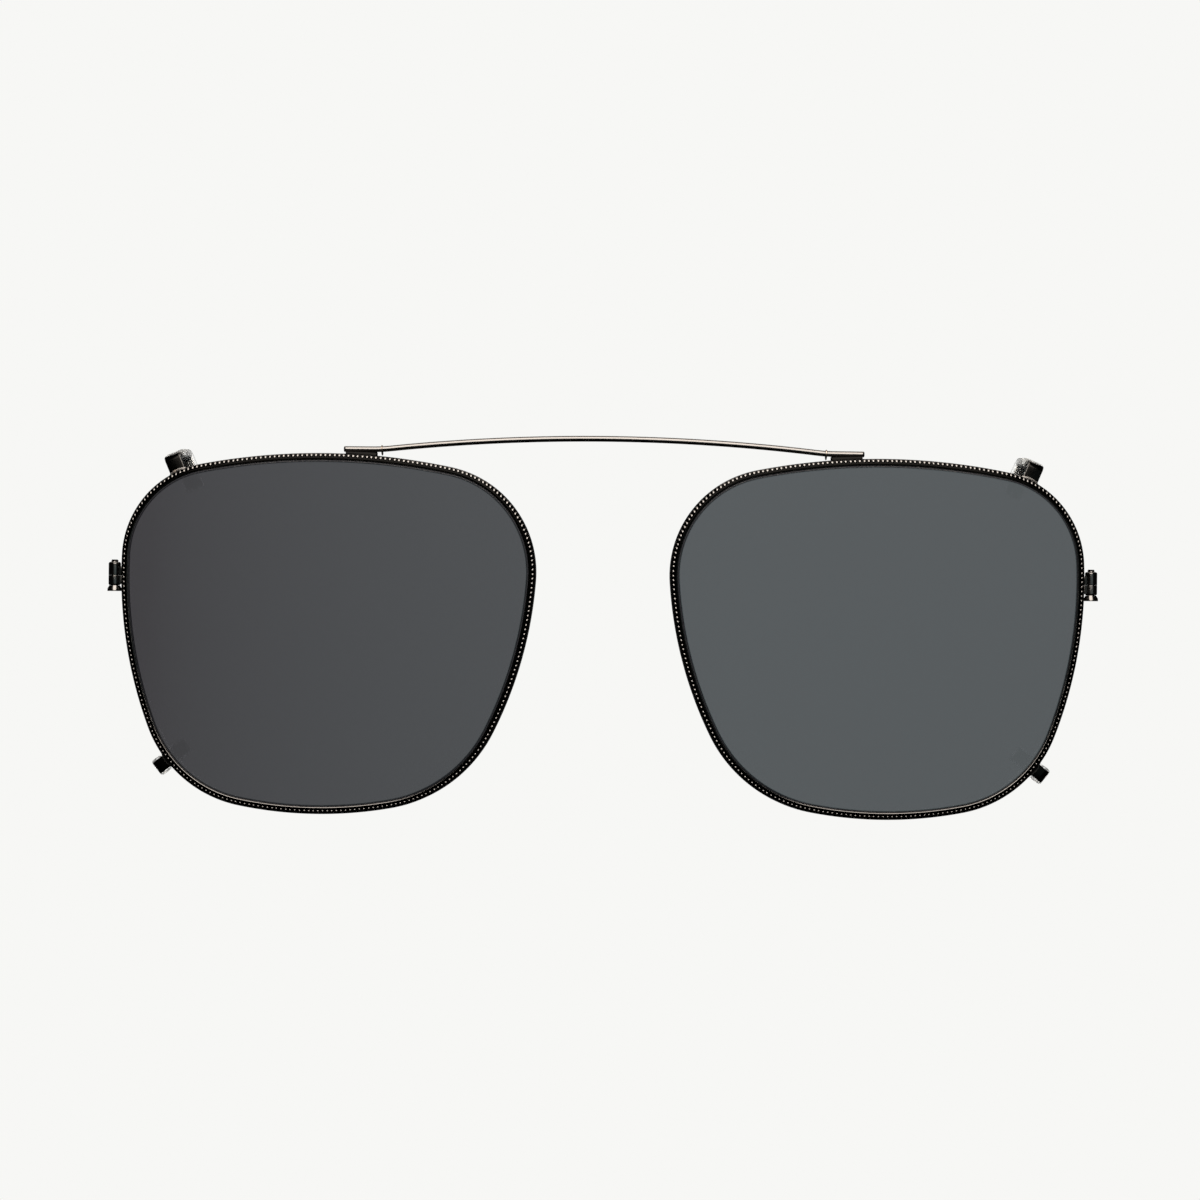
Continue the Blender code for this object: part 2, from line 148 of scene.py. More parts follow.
class LensSizes(PropertyGroup):
    """Sizes of a lens."""

    thickness: length("Thickness", "From front to back", 1.9)
    facet: length("Facet", "Bevel round the front", 0.17)
    clearance: length("Clearance", "From the rim all round", 0.03)


class BlockSizes(PropertyGroup):
    """Sizes of the closing block beside each rim and of its screw."""

    barrel_radius: length("Barrel radius", "Outside", 0.76)
    upper_length: length("Upper barrel", "Above the split", 1.65)
    lower_length: length("Lower barrel", "Below the split", 1.25)
    chamfer: length("Chamfer", "At the barrels' outer ends", 0.14)
    web_height: length("Web height", "Of each half's web to the rim", 1.1)
    web_thickness: length("Web thickness", "From front to back", 1.0)
    screw_radius: length("Screw radius", "Over its thread", 0.46)
    clearance: length("Clearance", "Round the screw in its bore", 0.02)
    thread_pitch: length("Thread pitch", "Of the closing screw", 0.3)
    thread_depth: length("Thread depth", "Of the closing screw", 0.07)
    tip: length("Screw tip", "What stands out of the top", 0.3)
    head_radius: length("Head radius", "At its widest", 0.89)
    neck_radius: length("Neck radius", "Of the head under the barrel", 0.66)
    head_cone: length("Head cone", "Height of the flare", 0.4)
    head_rim: length("Head rim", "Height of the head's straight rim", 0.3)
    slot_width: length("Slot width", "Of the driver slot", 0.24)
    slot_depth: length("Slot depth", "Of the driver slot", 0.28)


class BridgeSizes(PropertyGroup):
    """Sizes of the spring-wire bridge."""

    radius: length("Wire radius", "Of the round spring wire", 0.36)
    end: length("Wire end", "From the eye's centre to the cut end", 1.85)
    root: length("Root", "From the eye's centre to where the wire leaves the rim", 6.65)
    bend: length("Bend", "Length over which the foot turns into the arch", 2.2)
    lift: length("Lift", "From the rim's top to the wire's underside", 0.12)
    rise: length("Rise", "Of the arch above its feet", 1.55)
    braze_end: length("Braze end", "From the eye's centre to the end of the braze", 6.05)
    braze_width: length("Braze width", "Of the braze under a foot", 0.8)
    loop_wire: length("Loop wire", "Radius of the loop's own wire", 0.06)
    loop_drop: length("Loop drop", "How far the loop hangs below the bridge wire", 0.3)


class ProngSizes(PropertyGroup):
    """Sizes of the four prongs and their sleeves."""

    thickness: length("Thickness", "Of the strip", 0.5)
    foot: length("Foot", "From the rim's outer edge inwards", 0.8)
    hook: length("Hook", "From the rim's outer edge to the hook's tip", 2.2)
    bend: length("Bend", "Middle radius of each bend", 0.5)
    throat: length("Throat", "From the foot's back to the sleeve", 4.5)
    gap: length("Gap", "From the rim to what is brazed on", 0.015)
    wall: length("Sleeve wall", "Thickness of the clear sleeve", 0.28)
    clearance: length("Sleeve clearance", "Between sleeve and strip", 0.02)
    cover: length("Sleeve mouth", "From the rim's back to the sleeve's mouth", 2.1)
    fillet: length("Braze", "Height of the braze beside a prong", 0.36)
    fillet_width: length("Braze width", "Along the rim", 2.4)


class Finishes(PropertyGroup):
    """Colours of the materials."""

    plating: colour("Plating", "Near-black antique plating", (0.037, 0.035, 0.034))
    bronze: colour("Bronze", "Bare bronze where the plating is rubbed off", (0.62, 0.47, 0.37))
    smoke: colour("Lens tint", "Dark grey tint", (0.023, 0.0233, 0.027))
    # Painted shade: a dark ring round the inner edge of each lens's front facet, standing in for
    # the dark refraction seen there.
    edge: colour("Lens edge", "Ground edge of a lens", (0.004, 0.004, 0.005))
    silicone: colour("Sleeve", "Clear silicone", (0.985, 0.985, 0.98))
    backdrop: colour("Backdrop", "Pale sweep", (0.93, 0.93, 0.913))
    card: colour("Card", "Front card", (0.77, 0.98, 1.0))


class StageSizes(PropertyGroup):
    """Camera and lights."""

    camera_distance: length("Camera distance", "From the rims", 450.0)
    picture_width: length("Picture width", "What the camera sees at the rims", 149.35)
    camera_side: length("Camera side", "To the left of the bridge's middle", -0.33)
    camera_height: length("Camera height", "Above the rims' centres", 4.53)
    camera_roll: angle("Camera roll", "Clockwise turn of the picture's contents", 0.6)
    floor: length("Floor", "Below the rims' centres", 120.0)


# One prong: where it leaves the rim, the heading it leaves in, its reach beyond the rim's outer
# edge, its width, and the turn of its back run, clockwise along the rim (in degrees).
PRONGS = {
    "upper": (26.2, 23.0, 2.4 * MM, 2.0 * MM, -5.0),
    "lower": (128.4, 128.4, 1.9 * MM, 1.65 * MM, -4.0),
}

# Each light: its name, place, size, watts and tint.
LIGHTS = (
    ("soft_box", (0, -0.42, 0.39), (0.5, 0.72), 28.0, (1, 0.94, 0.85)),
    ("rear_strip", (0, 0.3, 0.45), (0.6, 0.2), 2.2, (1, 0.93, 0.85)),
)


class Outline:
    """The outer edge of a rim, as eight arcs.

    An arc of radius r from heading a to heading b moves the point by
    r (sin b - sin a, cos b - cos a) and is r (b - a) long. The sides' radii are the ones that close
    the outline at its width and height. Headings here are in radians.
    """

    def __init__(self, sizes):
        ends = np.radians(np.ravel(CORNER_HEADINGS))
        self.start = np.concatenate([[0], ends])
        self.end = np.concatenate([ends, [2 * np.pi]])
        quarter = np.pi / 2
        across = self.share(0, quarter)[0] + self.share(3 * quarter, 4 * quarter)[0]
        rows = np.vstack([self.share(0, 4 * quarter), across, self.share(0, 2 * quarter)[1]])
        rows[:, 0] += rows[:, 8]
        corners = np.array(sizes.corner_radii)
        wanted = np.array([0, 0, sizes.eye_width, -sizes.eye_height]) - rows[:, 1:8:2] @ corners
        self.radii = np.empty(9)
        self.radii[0:8:2] = np.linalg.solve(rows[:, 0:8:2], wanted)
        self.radii[1:8:2] = corners
        self.radii[8] = self.radii[0]
        self.lengths = np.concatenate([[0], np.cumsum(self.radii * (self.end - self.start))])
        top, right, bottom, left = (self.from_top(np.array(i * quarter)) for i in range(4))
        self.middle = np.array([right[0] + left[0], bottom[1] + top[1]]) / 2

    def share(self, low, high):
        a, b = np.clip(self.start, low, high), np.clip(self.end, low, high)
        return np.stack([np.sin(b) - np.sin(a), np.cos(b) - np.cos(a)])

    def from_top(self, heading):
        heading = np.asarray(heading)[..., None]
        a, b = np.minimum(self.start, heading), np.minimum(self.end, heading)
        return np.stack(
            [(np.sin(b) - np.sin(a)) @ self.radii, (np.cos(b) - np.cos(a)) @ self.radii], axis=-1
        )

    def edge(self, heading, offset=0.0):
        """(u, v) of the edge at each heading, moved out square to it by offset."""
        point = self.from_top(np.mod(heading, 2 * np.pi)) - self.middle
        return point[..., 0] + offset * np.sin(heading), point[..., 1] + offset * np.cos(heading)

    def heading_at(self, run):
        """The heading at each distance run along the edge, clockwise from the top."""
        turns = np.floor(run / self.lengths[-1])
        ends = np.concatenate([self.start, [2 * np.pi]])
        return np.interp(run - turns * self.lengths[-1], self.lengths, ends) + turns * 2 * np.pi

    def run_at(self, heading):
        return np.interp(heading, np.concatenate([self.start, [2 * np.pi]]), self.lengths)

    def heading_where(self, value, axis, low, high):
        """The heading between low and high degrees where the edge's u or v has this value."""
        headings = np.radians(np.linspace(low, high, 2000))
        values = self.edge(headings)[axis]
        order = np.argsort(values)
        return float(np.interp(value, values[order], headings[order]))


def place(side, u, d, v):
    """World points of an eye's (u, d, v): turned about the vertical by the wrap, then moved out."""
    u, d, v = np.broadcast_arrays(u, d, v)
    x = side * (EYE_CENTRE + u * math.cos(WRAP) - d * math.sin(WRAP))
    return np.stack([x, u * math.sin(WRAP) + d * math.cos(WRAP), v], axis=-1)


def in_eye(point):
    """(u, d, v) in the right eye of a world point."""
    x, y = point[0] - EYE_CENTRE, point[1]
    cos, sin = math.cos(WRAP), math.sin(WRAP)
    return x * cos + y * sin, y * cos - x * sin, point[2]


def eased(corners, steps=5):
    """A closed profile through (x, y, ease) corners.

    Each corner is the parabola (1-t)^2 a + 2t(1-t) corner + t^2 b, where a and b lie at the
    corner's ease before and after it on the profile's straight sides.
    """
    corners = np.asarray(corners, float)
    point, ease = corners[:, :2], corners[:, 2:]
    back = np.roll(point, 1, axis=0) - point
    ahead = np.roll(point, -1, axis=0) - point
    a = point + ease * back / np.linalg.norm(back, axis=1, keepdims=True)
    b = point + ease * ahead / np.linalg.norm(ahead, axis=1, keepdims=True)
    t = np.linspace(0, 1, steps)[:, None, None]
    path = (1 - t) ** 2 * a + 2 * t * (1 - t) * point + t**2 * b
    return path.swapaxes(0, 1).reshape(-1, 2)


def surface(points, wrap_rows=False, wrap_columns=True, capped=False, accent=0.0):
    """The vertices, faces and accent values of a grid of points, (rows, columns, 3).

    One more axis in front means copies of the grid. wrap_rows and wrap_columns join the last row
    or column to the first, and capped closes the first and last rows with a flat face. The last
    argument says how far a point shows bare metal (wear) above zero, and painted shade below zero.
    """
    points = np.asarray(points, float)
    rows, columns = points.shape[-3:-1]
    copies = rows * columns * np.arange(points.size // (rows * columns * 3))
    row = np.arange(rows if wrap_rows else rows - 1)[:, None] * columns
    column = np.arange(columns if wrap_columns else columns - 1)
    after = (row + columns) % (rows * columns)
    across = (column + 1) % columns
    quads = np.stack([row + column, row + across, after + across, after + column], axis=-1)
    faces = [(quads.reshape(-1, 4) + copies[:, None, None]).reshape(-1, 4)]
    if capped:
        ends = np.stack([np.arange(columns), np.arange(columns) + (rows - 1) * columns])
        faces.append((ends + copies[:, None, None]).reshape(-1, columns))
    return points.reshape(-1, 3), faces, np.broadcast_to(accent, points.shape[:-1]).ravel()


def new_piece(name, surfaces, slot, nodes=(), body=None, sharp=35.0):
    """A mesh object of closed surfaces, merged, turned outwards and shaded smooth.

    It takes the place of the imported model's nodes and moves with the body.
    """
    sizes, loops, count = [], [], 0
    for points, faces, _ in surfaces:
        loops += [(block + count).ravel() for block in faces]
        sizes += [np.full(len(block), block.shape[1]) for block in faces]
        count += len(points)
    loops, sizes = np.concatenate(loops), np.concatenate(sizes)
    mesh = bpy.data.meshes.new(name)
    mesh.vertices.add(count)
    mesh.vertices.foreach_set("co", np.concatenate([s[0] for s in surfaces]).ravel())
    mesh.loops.add(len(loops))
    mesh.loops.foreach_set("vertex_index", loops.astype(np.int32))
    mesh.polygons.add(len(sizes))
    starts = np.concatenate([[0], np.cumsum(sizes)[:-1]]).astype(np.int32)
    mesh.polygons.foreach_set("loop_start", starts)
    mesh.update(calc_edges=True)
    wear_and_shade_layer = mesh.attributes.new("accent", "FLOAT", "POINT")
    wear_and_shade_layer.data.foreach_set("value", np.concatenate([s[2] for s in surfaces]).astype(np.float32))
    shape = bmesh.new()
    shape.from_mesh(mesh)
    bmesh.ops.remove_doubles(shape, verts=shape.verts, dist=SMALLEST_GAP)
    bmesh.ops.recalc_face_normals(shape, faces=shape.faces)
    shape.to_mesh(mesh)
    shape.free()
    mesh.shade_smooth()
    mesh.set_sharp_from_angle(angle=math.radians(sharp))
    mesh.materials.append(finish_for(slot))
    made = bpy.data.objects.new(name, mesh)
    bpy.context.scene.collection.objects.link(made)
    if nodes:
        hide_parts(*nodes)
    if body:
        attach(made, body)
    return made


def side_piece(word, piece, surfaces, slot, nodes=(), part="eye", sharp=35.0):
    """new_piece for the left or right side, whose name goes in front of every name."""
    nodes = [f"{word}_{name}" for name in nodes]
    return new_piece(f"{word}_{piece}", surfaces, slot, nodes, f"{word}_{part}", sharp)


def feed(tree, made, inputs):
    """Gives a node's inputs, by name or number, their values or the sockets that feed them."""
    for key, value in dict(inputs).items():
        if isinstance(value, bpy.types.NodeSocket):
            tree.links.new(value, made.inputs[key])
        else:
            made.inputs[key].default_value = value


def node(tree, kind, inputs=(), **settings):
    """A new shader node with its settings and its inputs."""
    made = tree.nodes.new(kind)
    for key, value in settings.items():
        setattr(made, key, value)
    feed(tree, made, inputs)
    return made


def maths(tree, operation, *values, clamp=False):
    """The socket with the result of an operation on values or sockets."""
    made = node(tree, "ShaderNodeMath", enumerate(values), operation=operation, use_clamp=clamp)
    return made.outputs[0]


def stretched(tree, value, low, high, to_low=0.0, to_high=1.0, smooth="LINEAR"):
    """The socket with a value moved from low and high to to_low and to_high, and held beyond."""
    ends = {"From Min": low, "From Max": high, "To Min": to_low, "To Max": to_high}
    made = node(
        tree, "ShaderNodeMapRange", {"Value": value, **ends}, interpolation_type=smooth
    )
    return made.outputs["Result"]


def noise(tree, scale, detail, roughness=0.5):
    """The socket with a noise on the piece's own coordinates."""
    where = node(tree, "ShaderNodeTexCoord").outputs["Object"]
    settings = {"Vector": where, "Scale": scale, "Detail": detail, "Roughness": roughness}
    return node(tree, "ShaderNodeTexNoise", settings).outputs["Fac"]


def mixed_colour(tree, factor, a, b):
    """The socket with a colour between a and b."""
    made = node(tree, "ShaderNodeMix", {"Factor": factor, "A": a, "B": b}, data_type="RGBA")
    return made.outputs["Result"]


def shader_group(name, inputs, outputs):
    """An empty node group with these sockets, each (name, type, default) or (name, type)."""
    tree = bpy.data.node_groups.new(name, "ShaderNodeTree")
    for label, kind, default in inputs:
        socket = tree.interface.new_socket(label, in_out="INPUT", socket_type=kind)
        socket.default_value = default
    for label, kind in outputs:
        tree.interface.new_socket(label, in_out="OUTPUT", socket_type=kind)
    return tree, tree.nodes.new("NodeGroupInput").outputs, tree.nodes.new("NodeGroupOutput")


def handled_surface_group():
    """Group: the faint smudges and hairline grain of a handled, polished surface."""
    name = "Handled surface"
    if name in bpy.data.node_groups:
        return bpy.data.node_groups[name]
    tree, given, out = shader_group(
        name,
        [
            ("Smoothest", "NodeSocketFloat", 0.1),
            ("Roughest", "NodeSocketFloat", 0.3),
            ("Smudge Size", "NodeSocketFloat", 300.0),
            ("Grain Size", "NodeSocketFloat", 6000.0),
        ],
        [("Roughness", "NodeSocketFloat"), ("Height", "NodeSocketFloat")],
    )
    smudge = noise(tree, given["Smudge Size"], 4.0, 0.6)
    grain = noise(tree, given["Grain Size"], 3.0, 0.7)
    blurred = stretched(tree, smudge, 0.3, 0.7, given["Smoothest"], given["Roughest"])
    feed(tree, out, {"Roughness": blurred, "Height": grain})
    return tree


def rubbed_plating_group():
    """Group: dark plating, rubbed through to the metal under it where Rubbed is above zero.

    Below zero, the same input darkens the plating: painted shade on faces that would mirror the
    lights.
    """
    name = "Rubbed plating"
    if name in bpy.data.node_groups:
        return bpy.data.node_groups[name]
    tree, given, out = shader_group(
        name,
        [
            ("Plating", "NodeSocketColor", (0.03, 0.03, 0.03, 1)),
            ("Metal", "NodeSocketColor", (0.6, 0.5, 0.4, 1)),
            ("Rubbed", "NodeSocketFloat", 0.0),
            ("Unevenness", "NodeSocketFloat", 0.5),
        ],
        [("Colour", "NodeSocketColor")],
    )
    centred = maths(tree, "ADD", noise(tree, 900.0, 5.0), -0.5)
    uneven = maths(tree, "MULTIPLY_ADD", centred, given["Unevenness"], given["Rubbed"])
    bare = stretched(tree, uneven, 0.25, 0.95, smooth="SMOOTHSTEP")
    shade = mixed_colour(tree, bare, given["Plating"], given["Metal"])
    # Painted shade: below zero, the colour is scaled down towards black.
    painted_shade_factor = maths(tree, "ADD", given["Rubbed"], 1.0, clamp=True)
    painted_shade_colour = node(tree, "ShaderNodeVectorMath", {0: shade, "Scale": painted_shade_factor}, operation="SCALE")
    feed(tree, out, {"Colour": painted_shade_colour.outputs["Vector"]})
    return tree


def material(name):
    """A new material with its tree and its Principled BSDF."""
    made = bpy.data.materials.new(name)
    made.use_nodes = True
    return made, made.node_tree, made.node_tree.nodes["Principled BSDF"]


def handled(tree, shader, smoothest, roughest, grain, strength, smudge=300.0):
    """Gives a shader the handled surface's roughness and a fine bump."""
    sizes = {"Smudge Size": smudge, "Grain Size": grain}
    touched = node(
        tree,
        "ShaderNodeGroup",
        {"Smoothest": smoothest, "Roughest": roughest, **sizes},
        node_tree=handled_surface_group(),
    ).outputs
    bump = {"Height": touched["Height"], "Strength": strength, "Distance": 0.01 * MM}
    normal = node(tree, "ShaderNodeBump", bump).outputs["Normal"]
    feed(tree, shader, {"Roughness": touched["Roughness"], "Normal": normal})


def accent_of(tree):
    """The socket with the mesh's own value: wear above zero, painted shade below zero."""
    return node(tree, "ShaderNodeAttribute", attribute_name="accent").outputs["Fac"]


def metal(name, finishes, unevenness, smoothest, roughest):
    """Bronze under dark plating, which the mesh's value lays bare as wear or darkens as painted
    shade.
    """
    made, tree, shader = material(name)
    colours = {"Plating": (*finishes.plating, 1), "Metal": (*finishes.bronze, 1)}
    plated = node(
        tree,
        "ShaderNodeGroup",
        {**colours, "Rubbed": accent_of(tree), "Unevenness": unevenness},
        node_tree=rubbed_plating_group(),
    )
    feed(tree, shader, {"Base Color": plated.outputs["Colour"], "Metallic": 1.0})
    handled(tree, shader, smoothest, roughest, grain=9000.0, strength=0.25)
    return made


def plated_black(name, finishes):
    return metal(name, finishes, unevenness=0.5, smoothest=0.1, roughest=0.22)


def rubbed_braze(name, finishes):
    """Braze metal, duller than the plating and rubbed more unevenly."""
    return metal(name, finishes, unevenness=1.0, smoothest=0.2, roughest=0.4)


def tinted_lens(name, finishes):
    """Dark grey lens: a little light passes through, and the polish mirrors."""
    made, tree, shader = material(name)
    # Painted shade: the tint turns to the near-black lens-edge colour along the ring that lens()
    # marks at the front facet's inner edge.
    tint = mixed_colour(tree, accent_of(tree), (*finishes.smoke, 1), (*finishes.edge, 1))
    feed(tree, shader, {"Base Color": tint, "Metallic": 0.0})
    feed(tree, shader, {"Transmission Weight": 0.6, "IOR": 1.5})
    handled(tree, shader, 0.03, 0.07, grain=2500.0, strength=0.02, smudge=90.0)
    return made


def clear_rubber(name, finishes):
    """Clear rubber with a faint haze."""
    made, tree, shader = material(name)
    feed(tree, shader, {"Base Color": (*finishes.silicone, 1), "Metallic": 0.0})
    feed(tree, shader, {"Transmission Weight": 1.0, "IOR": 1.41})
    handled(tree, shader, 0.2, 0.36, grain=2500.0, strength=0.05)
    return made


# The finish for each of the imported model's material slots.
MAKERS = {
    "antique_black": plated_black,
    "rose_bronze": rubbed_braze,
    "smoke_lens": tinted_lens,
    "clear_silicone": clear_rubber,
}


def finish_for(slot):
    """The slot's material, made the first time that it is asked for."""
    make = MAKERS[slot]
    if make.__name__ not in bpy.data.materials:
        make(make.__name__, bpy.context.scene.clip_finish)
    return bpy.data.materials[make.__name__]


def eyewire(sizes, outline, side):
    """The rim: an open ring of one profile, carried round the outline from the split to the split.

    From outside in, the profile has a flat wall, a strip that slopes back outwards under the
    beads, a plain front face round the lens, the V groove and the rear land.
    """
    half, inner = sizes.depth / 2, -sizes.width
    fall = sizes.strip_width * math.sin(sizes.strip_tilt)
    wall = -sizes.wall_inset
    valley = wall - sizes.strip_width * math.cos(sizes.strip_tilt)
    profile = eased(
        [
            (wall, half, 0.12 * MM),
            (wall, -half + fall + sizes.set_back, 0.08 * MM),
            (valley, -half + sizes.set_back, 0.05 * MM),
            (inner, -half + 0.02 * MM, 0.1 * MM),
            (inner, -sizes.groove, 0.0),
            (inner + sizes.groove, 0.0, 0.04 * MM),
            (inner, sizes.groove, 0.0),
            (inner, half, 0.08 * MM),
        ]
    )
    split = outline.run_at(block_heading(outline))
    run = np.linspace(sizes.split / 2, outline.lengths[-1] - sizes.split / 2, RIM_STEPS)
    heading = outline.heading_at(split + run)[:, None]
    u, v = outline.edge(heading, profile[:, 0])
    # Painted shade: the bead strip and the plain front face are darkened nearly to black, so that
    # they mirror no light.
    front = (profile[:, 1] < -half + fall + 0.02 * MM) & (profile[:, 0] > inner + 0.06 * MM)
    shade = -sizes.blackening * front * np.ones_like(heading)
    return surface(place(side, u, profile[:, 1], v), capped=True, accent=shade)


def block_heading(outline):
    """The heading where the rim is split, level with the closing screw's origin."""
    return outline.heading_where(JOINTS["right_rim_screw_turn"]["pos_m"][2], 1, 60, 120)


def beads(sizes, outline, side):
    """The milled beads: ellipsoids set half into the sloping strip, one after another.

    With the angle a from the crown and the angle b round it, a bead's point lies n = rise cos a
    out of the strip, c = width/2 sin a cos b across it and t = length/2 sin a sin b along it.
    """
    rows, columns = 7, 10
    rng = np.random.default_rng(7)
    whole = outline.lengths[-1]
    count = round(whole / sizes.bead_pitch)
    run = (np.arange(count) + 0.5) * whole / count
    run = run + sizes.bead_spread * sizes.bead_pitch * rng.standard_normal(count)
    grow = 1 + sizes.bead_spread * rng.uniform(-1, 1, (count, 1, 1))
    a = np.linspace(0, np.pi, rows)[:, None]
    b = np.linspace(0, 2 * np.pi, columns, endpoint=False)
    n = sizes.bead_rise * np.cos(a) * np.ones_like(b) * grow
    c = sizes.bead_width / 2 * np.sin(a) * np.cos(b) * grow
    t = sizes.bead_length / 2 * np.sin(a) * np.sin(b) * grow
    cos, sin = math.cos(sizes.strip_tilt), math.sin(sizes.strip_tilt)
    half_run = sizes.strip_width / 2
    offset = -sizes.wall_inset - half_run * cos + n * sin + c * cos
    depth = -sizes.depth / 2 + sizes.set_back + half_run * sin - n * cos + c * sin
    split = outline.run_at(block_heading(outline))
    heading = outline.heading_at(split + run)[:, None, None]
    u, v = outline.edge(heading, offset)
    points = place(side, u + t * np.cos(heading), depth, v - t * np.sin(heading))
    polish = rng.uniform(0.0, 0.3, (count, 1, 1))
    return surface(points, accent=np.clip(np.cos(a), 0, 1) * np.ones_like(b) * polish)


def lens(sizes, rim, outline, side):
    """A flat plate: rings of the outline, drawn in to the middle of the front and of the back.

    A ring is the edge moved by an offset and shrunk about the eye's centre by a share.
    """
    half = sizes.thickness / 2
    edge = -rim.width - sizes.clearance
    ease = 0.05 * MM
    inner = edge - sizes.facet
    rings = [
        *[(share, edge - ease, half) for share in (0, 0.25, 0.5, 0.75, 0.93, 1)],
        (1, edge, half - ease),
        (1, edge, rim.groove),
        (1, edge + rim.groove, 0),
        (1, edge, -rim.groove),
        (1, edge, sizes.facet - half),
        (1, inner + ease, ease - half),
        (1, inner, -half),
        (1, inner - ease, -half),
        (1, inner - 2 * ease, -half),
        *[(share, inner - 3 * ease, -half) for share in (1, 0.93, 0.75, 0.5, 0.25, 0)],
    ]
    share, offset, depth = (np.array(column)[:, None] for column in zip(*rings))
    heading = outline.heading_at(np.linspace(0, outline.lengths[-1], LENS_STEPS, endpoint=False))
    u, v = outline.edge(heading, offset)
    # Painted shade: the rings at the front facet's inner edge are marked to take the dark lens-edge
    # colour.
    near = np.abs(offset - inner) < 1.5 * ease
    line = near * (depth < 0) * np.ones_like(heading)
    return surface(place(side, u * share, depth, v * share), accent=line)


def turned(side, axis, radius, height, angles):
    """Points at each height and radius, turned about the closing block's upright axis."""
    return place(
        side,
        axis[0] + radius * np.cos(angles),
        axis[1] + radius * np.sin(angles),
        axis[2] + height,
    )


def barrel(sizes, rim, side, axis, reach, up):
    """Half of the closing barrel: a turned tube, and the rounded web that joins it to the rim."""
    low = rim.split / 2
    high = low + (sizes.upper_length if up > 0 else sizes.lower_length)
    bore = sizes.screw_radius + sizes.clearance
    profile = eased(
        [
            (bore, low, 0.02 * MM),
            (sizes.barrel_radius, low, 0.03 * MM),
            (sizes.barrel_radius, high - sizes.chamfer, 0.06 * MM),
            (sizes.barrel_radius - sizes.chamfer, high, 0.06 * MM),
            (bore, high, 0.03 * MM),
        ]
    )
    angles = np.linspace(0, 2 * np.pi, 64, endpoint=False)
    tube = turned(side, axis, profile[:, :1], up * profile[:, 1:], angles)
    edge = np.exp(-(((profile[:, 1:] - high + sizes.chamfer / 2) / (0.1 * MM)) ** 2))
    outer = profile[:, :1] > sizes.barrel_radius - 1.5 * sizes.chamfer
    half, inner = sizes.web_thickness / 2, axis[0] - sizes.barrel_radius * 0.8
    soft = 0.1 * MM
    section = eased(
        [(reach, -half, soft), (inner, -half, 0), (inner, half, 0), (reach, half, soft)]
    )
    ease = 0.05 * MM
    height = np.array([low, low + ease, low + sizes.web_height - ease, low + sizes.web_height])
    shrink = np.array([0.92, 1, 1, 0.92])[:, None]
    depth = axis[1] + section[:, 1] * shrink
    web = place(side, section[:, 0], depth, axis[2] + up * height[:, None])
    accent = 0.25 * edge * outer * np.ones_like(angles)
    # Painted shade: the web is darkened towards black, so that it mirrors no light beside the rim.
    return [surface(tube, wrap_rows=True, accent=accent), surface(web, capped=True, accent=-0.7)]


def closing_screw(sizes, rim, side, axis):
    """The screw: a slotted head below, and a threaded shaft whose tip stands out of the top.

    The head's underside is a disc of straight rows, u = s sqrt(R^2 - d^2) for s from -1 to 1, so
    that rows on each side of the slot can drop to its floor. Its edge is the first ring of the
    turned side. The thread is r = R - depth |2 frac(z / pitch - angle / turn) - 1|.
    """
    seat = -rim.split / 2 - sizes.lower_length - sizes.clearance
    bottom = seat - sizes.head_cone - sizes.head_rim
    top = rim.split / 2 + sizes.upper_length + sizes.tip
    wide, slot = sizes.head_radius, sizes.slot_width / 2
    outer = np.cos(np.linspace(0, math.acos(slot / wide), 13))[:, None] * wide
    rows = np.concatenate([-outer, [[-slot], [slot]], outer[::-1]])
    floor = np.concatenate([0 * outer, [[sizes.slot_depth]] * 2, 0 * outer]) + bottom
    s = np.linspace(-1, 1, 9)
    chord = np.sqrt(np.maximum(wide**2 - rows**2, 0))
    disc = place(side, axis[0] + chord * s, axis[1] + rows, axis[2] + floor)
    ring_u = np.concatenate([chord[:, 0], -chord[::-1, 0]])
    ring_d = np.concatenate([rows[:, 0], rows[::-1, 0]])
    ring_z = np.concatenate([floor[:, 0], floor[::-1, 0]])
    turn = np.arctan2(ring_d, ring_u)
    chamfer = sizes.tip / 3
    shaft = np.linspace(seat + 0.06 * MM, top - chamfer, 120)[:, None]
    phase = shaft / sizes.thread_pitch - turn / (2 * np.pi)
    wave = np.abs(2 * (phase - np.floor(phase)) - 1)
    thread = sizes.screw_radius - sizes.thread_depth * wave
    neck = [(wide, bottom + sizes.head_rim), (sizes.neck_radius, seat), (sizes.screw_radius, seat)]
    radius = np.array([[r] for r, _ in neck]) * np.ones_like(turn)
    height = np.array([[z] for _, z in neck]) * np.ones_like(turn)
    end = sizes.screw_radius - chamfer
    radius = np.vstack([np.full_like(turn, wide), radius, thread, np.full_like(turn, end)])
    height = np.vstack([ring_z, height, shaft * np.ones_like(turn), np.full_like(turn, top)])
    side_wall = turned(side, axis, radius, height, turn)
    points, faces, accent = surface(side_wall, capped=True, accent=0.0)
    faces[1] = faces[1][1:]
    return [surface(disc, wrap_columns=False), (points, faces, accent)]


